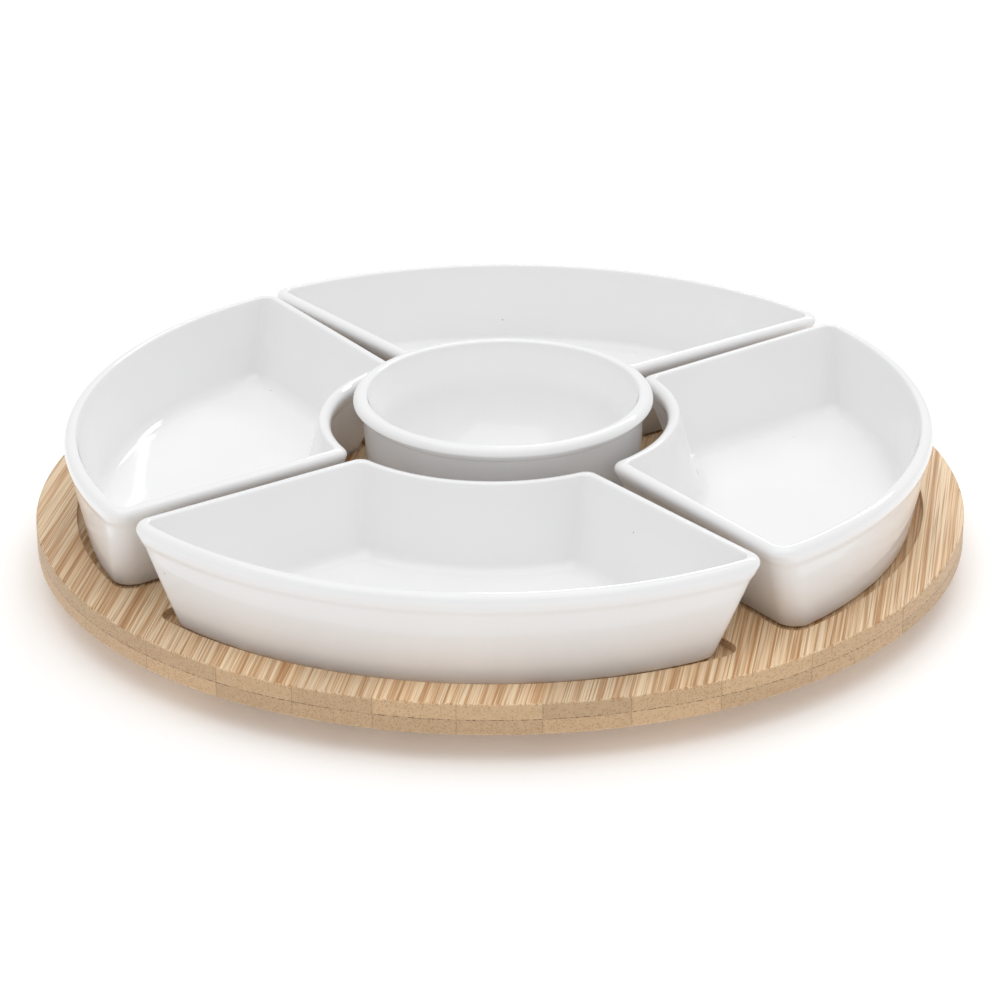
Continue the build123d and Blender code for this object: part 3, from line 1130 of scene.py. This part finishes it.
@dataclass
class Turntable:
    """The low ball-bearing turntable: two rings, balls in a cage, countersunk screws and rubber pads."""

    ring_finish: bpy.types.Material
    ball_finish: bpy.types.Material
    cage_finish: bpy.types.Material
    screw_finish: bpy.types.Material
    pad_finish: bpy.types.Material
    ball_radius: float = 2.0
    ball_circle: float = 64.5
    ball_count: int = 30
    pad_radius: float = 5.0
    pad_round: float = 0.5
    pad_circle: float = 55.7
    pad_count: int = 6
    head_radius: float = 2.9
    shank_radius: float = 1.5
    tip_length: float = 1.6
    thread_pitch: float = 0.9
    thread_depth: float = 0.28
    recess: float = 1.6
    screw_circle: float = 75.0
    screw_count: int = 4

    def rings(self) -> list[bpy.types.Object]:
        """Dress the two rings and the cage, whose CAD shapes are kept."""
        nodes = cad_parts
        dressed = {
            "turntable_outer_ring": self.ring_finish,
            "turntable_inner_ring": self.ring_finish,
            "ball_cage": self.cage_finish,
        }
        for name, finish in dressed.items():
            for slot in nodes[name].material_slots:
                slot.material = finish
        return [nodes[name] for name in dressed]

    def solid(self, name: str, points: list[tuple[float, float]], finish: bpy.types.Material, count: int) -> bpy.types.Object:
        """Turn a closed profile about the axis, its first and last points near the axis."""
        shape = bmesh.new()
        rows = loft_rings(shape, lathe(points, count))
        shape.faces.new(list(reversed(rows[0])))
        shape.faces.new(rows[-1])
        return object_from(shape, name, finish, 35)

    def balls(self) -> bpy.types.Object:
        """Build the ring of balls."""
        low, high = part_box("bearing_balls")
        middle = (low.z + high.z) / 2 / MM
        steps = [math.pi * (i + 0.5) / 12 for i in range(12)]
        points = [(self.ball_radius * math.sin(a), middle - self.ball_radius * math.cos(a)) for a in steps]
        ball = self.solid("ball", points, self.ball_finish, 20)
        piece = RadialArray("steel_balls", self.ball_count, self.ball_circle * MM, self.ball_finish).build(ball)
        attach(piece, "ball_train")
        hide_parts("bearing_balls")
        return piece

    def pads(self) -> bpy.types.Object:
        """Build the rubber pads."""
        low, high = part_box("foot_pads")
        base, top = low.z / MM, high.z / MM
        points = [(0.3, base), (self.pad_radius * 0.6, base)]
        for share in (0.0, *arc_steps(3), 1.0):
            angle = share * math.pi / 2
            points.append(
                (
                    self.pad_radius - self.pad_round * (1 - math.sin(angle)),
                    base + self.pad_round * (1 - math.cos(angle)),
                )
            )
        points += [(self.pad_radius, top), (0.3, top)]
        pad = self.solid("pad", points, self.pad_finish, 40)
        piece = RadialArray("rubber_pads", self.pad_count, self.pad_circle * MM, self.pad_finish).build(pad)
        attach(piece, "base")
        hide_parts("foot_pads")
        return piece

    def screws(self) -> bpy.types.Object:
        """Build the countersunk screws with a cross recess and a rolled thread."""
        low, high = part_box("ring_screws")
        base, top = low.z / MM, high.z / MM
        head = self.head_radius - self.shank_radius
        floor = base + 0.9
        points = [(0.15, floor), (0.35, floor), (0.45, base + 0.15), (0.7, base)]
        points += [(self.head_radius - 0.15, base), (self.head_radius, base + 0.12)]
        points.append((self.shank_radius, base + head))
        start, end = base + head + 0.3, top - self.tip_length
        turns = int((end - start) / self.thread_pitch)
        for i in range(turns):
            z = start + i * (end - start) / turns
            points += [(self.shank_radius, z), (self.shank_radius - self.thread_depth, z + self.thread_pitch / 2)]
        points += [(self.shank_radius, end), (0.1, top)]
        screw = self.solid("screw", points, self.screw_finish, 28)
        self.cut_cross(screw, base)
        piece = RadialArray("zinc_screws", self.screw_count, self.screw_circle * MM, self.screw_finish).build(screw)
        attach(piece, "tray")
        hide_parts("ring_screws")
        return piece

    def cut_cross(self, screw: bpy.types.Object, base: float) -> None:
        """Pull the head's face in along a cross, to make the driver's recess."""
        for vert in screw.data.vertices:
            x, y, z = (c / MM for c in vert.co)
            on_cross = min(abs(x), abs(y)) < 0.36 and math.hypot(x, y) < self.recess
            if z < base + 0.2 and on_cross:
                vert.co.z = (base + 0.9) * MM

    def build(self) -> list[bpy.types.Object]:
        """Build every piece of the turntable.

        Returns:
            The dressed rings and cage, then the balls, pads and screws.
        """
        return self.rings() + [self.balls(), self.pads(), self.screws()]


# --- stage ------------------------------------------------------------------------------------------------------


@dataclass
class Stage:
    """A flat pale floor, a bright tent of light and the camera. Metres and degrees."""

    azimuth: float = 9.239
    elevation: float = 24.374
    distance: float = 1.2043    # from the middle of the tray's underside
    aim_height: float = 0.0169
    roll: float = -0.45
    focal_length: float = 132.76
    sensor: float = 36.0
    floor_half: float = 4.0
    floor_colour: str = "#FEFEFE"
    floor_glow: float = 0.12    # the floor is lit from below, like a light table

    def floor(self) -> bpy.types.Object:
        """Build the floor under the object."""
        size = self.floor_half
        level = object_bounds()[0][2]
        mesh = bpy.data.meshes.new("floor")
        corners = [(-size, -size, level), (size, -size, level), (size, size, level), (-size, size, level)]
        mesh.from_pydata(corners, [], [(0, 1, 2, 3)])
        material, shader = new_material("pale_floor")
        shader.inputs["Base Color"].default_value = linear(self.floor_colour)
        shader.inputs["Roughness"].default_value = 0.9
        shader.inputs["Emission Color"].default_value = linear(self.floor_colour)
        shader.inputs["Emission Strength"].default_value = self.floor_glow
        mesh.materials.append(material)
        floor = bpy.data.objects.new("floor", mesh)
        bpy.context.scene.collection.objects.link(floor)
        floor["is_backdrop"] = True
        return floor

    def lamp(self, name: str, place: Vector, size: tuple[float, float], watts: float, aim: Vector) -> None:
        """Hang one rectangular soft light."""
        light = bpy.data.lights.new(name, "AREA")
        light.shape = "RECTANGLE"
        light.size, light.size_y = size
        light.energy = watts
        lamp = bpy.data.objects.new(name, light)
        lamp.location = place
        lamp.rotation_euler = (aim - place).to_track_quat("-Z", "Y").to_euler()
        bpy.context.scene.collection.objects.link(lamp)

    def lights(self) -> None:
        """Hang the soft lights and set the pale surroundings."""
        aim = Vector((0.0, 0.0, 0.02))
        self.lamp("overhead", Vector((0.0, -0.05, 2.1)), (2.4, 2.4), 17.0, aim)
        self.lamp("back_strip", Vector((0.3, 1.5, 1.15)), (1.2, 0.14), 5.0, aim)
        world = bpy.data.worlds.new("tent")
        world.use_nodes = True
        sky = world.node_tree.nodes["Background"]
        sky.inputs["Color"].default_value = linear("#FFFFFF")
        sky.inputs["Strength"].default_value = 0.68
        bpy.context.scene.world = world

    def camera(self) -> bpy.types.Object:
        """Place the camera at the viewing angle.

        Returns:
            The camera object.
        """
        low, high = (Vector(corner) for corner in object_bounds())
        middle = (low + high) / 2
        aim = Vector((middle.x, middle.y, low.z + self.aim_height))
        azimuth, elevation = math.radians(self.azimuth), math.radians(self.elevation)
        away = Vector(
            (
                math.sin(azimuth) * math.cos(elevation),
                -math.cos(azimuth) * math.cos(elevation),
                math.sin(elevation),
            )
        )
        data = bpy.data.cameras.new("camera")
        data.lens = self.focal_length
        data.sensor_width = self.sensor
        camera = bpy.data.objects.new("camera", data)
        tray_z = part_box("tray_lower_ply")[0].z
        camera.location = Vector((middle.x, middle.y, tray_z)) + self.distance * away
        turn = (aim - camera.location).to_track_quat("-Z", "Y").to_matrix()
        spin = Matrix.Rotation(math.radians(self.roll), 3, "Z")
        camera.rotation_euler = (turn @ spin).to_euler()
        bpy.context.scene.collection.objects.link(camera)
        bpy.context.scene.camera = camera
        return camera

    def build(self) -> None:
        """Build floor, lights and camera."""
        self.floor()
        self.lights()
        self.camera()
        bpy.context.scene.view_settings.view_transform = "Standard"


def main() -> None:
    """Build the classes in order, report each piece and note the sizes."""
    logging.basicConfig(level=logging.INFO, format="%(name)s: %(message)s")
    Stage().build()
    dish_glaze = WhiteGlaze("white_glaze_dish").build()
    bowl_glaze = WhiteGlaze("white_glaze_bowl").build()
    glue_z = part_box("tray_lower_ply")[1].z
    upper_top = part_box("tray_upper_ply")[1].z
    upper = LaminatedBamboo("bamboo_upper", glue_z, upper_top, 3.0).build()
    lower = LaminatedBamboo("bamboo_lower", glue_z, upper_top, 41.0).build()
    pieces = [
        WedgeDish(Place.FRONT, dish_glaze, turn=0.3, shift=(-0.7, 0.0), seed=1.3).build(),
        WedgeDish(Place.RIGHT, dish_glaze, turn=-0.1, shift=(0.2, 0.7), seed=7.1).build(),
        WedgeDish(Place.BACK, dish_glaze, turn=0.5, shift=(-0.2, 0.3), seed=12.9).build(),
        WedgeDish(Place.LEFT, dish_glaze, turn=-1.8, shift=(0.0, 0.4), seed=20.4).build(),
        DipBowl(bowl_glaze).build(),
    ]
    tray = BambooTray(upper, lower)
    pieces += [tray.upper(), tray.lower()]
    turntable = Turntable(
        TurnedMetal("turned_aluminium", "#D6D6D8", 0.34).build(),
        TurnedMetal("polished_bearing_steel", "#C9CACC", 0.14, spread=0.05).build(),
        MouldedPlastic("natural_nylon", "#E4E0D2", 0.5, 1.53).build(),
        TurnedMetal("zinc_plated_steel", "#BFC2C6", 0.3).build(),
        MouldedPlastic("black_rubber", "#232323", 0.8, 1.5).build(),
    )
    pieces += turntable.build()
    for piece in pieces:
        LOG.info("%s: %d faces", piece.name, len(piece.data.polygons))


if __name__ == "__main__":
    main()
